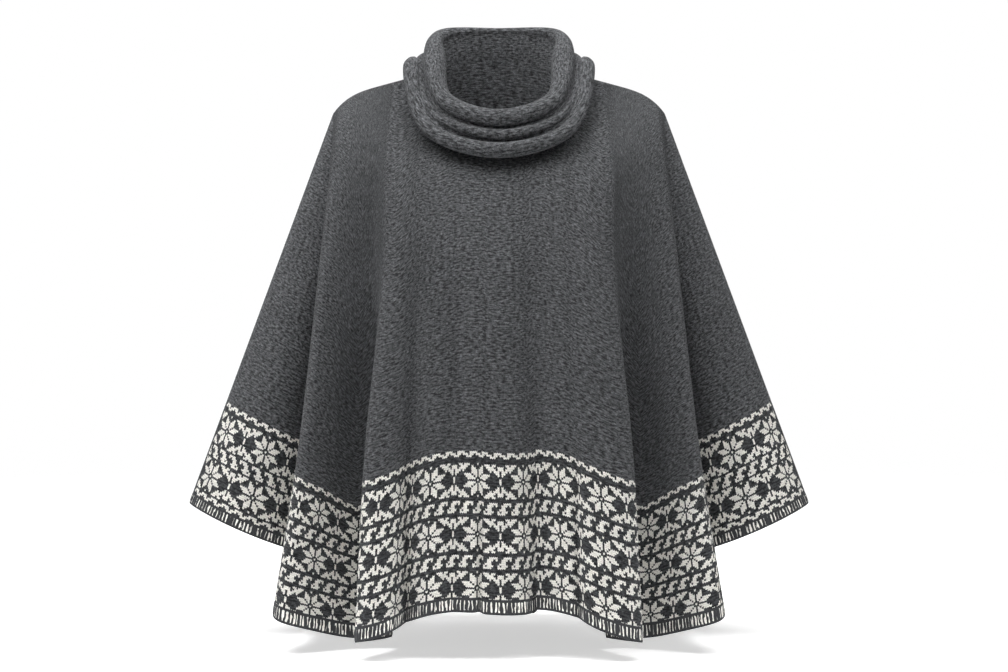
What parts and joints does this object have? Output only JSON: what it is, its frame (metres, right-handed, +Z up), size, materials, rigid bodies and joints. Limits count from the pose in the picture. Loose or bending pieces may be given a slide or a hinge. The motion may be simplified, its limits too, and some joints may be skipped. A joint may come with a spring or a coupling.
{
  "type": "fair isle poncho sweater, worn form",
  "caption": "Knitted poncho sweater held in its worn shape: bell body with side folds, wide sleeves, rolled cowl collar and a fair isle border at hem and cuffs.",
  "frame": {"origin": "level with the base of the neck, in the middle of the shoulders that carry the garment", "axes": "+Z up, +X to the right of someone who faces the front, and the front faces -Y. left and right in node names are as that person sees them"},
  "size_m": [0.8404, 0.4146, 0.8093],
  "materials": {
    "fair_isle_knit": "matt wool-blend knit, heathered charcoal with an off-white patterned border",
    "collar_knit": "matt wool-blend knit, heathered charcoal",
    "marled_rib": "matt ribbed knit, charcoal and off-white marl"
  },
  "bodies": {
    "root": {"front_panel": "fair_isle_knit", "back_panel": "fair_isle_knit", "left_sleeve": "fair_isle_knit", "right_sleeve": "fair_isle_knit", "cowl_collar": "collar_knit", "front_hem_rib": "marled_rib", "back_hem_rib": "marled_rib", "left_cuff_rib": "marled_rib", "right_cuff_rib": "marled_rib"}
  },
  "joints": []
}
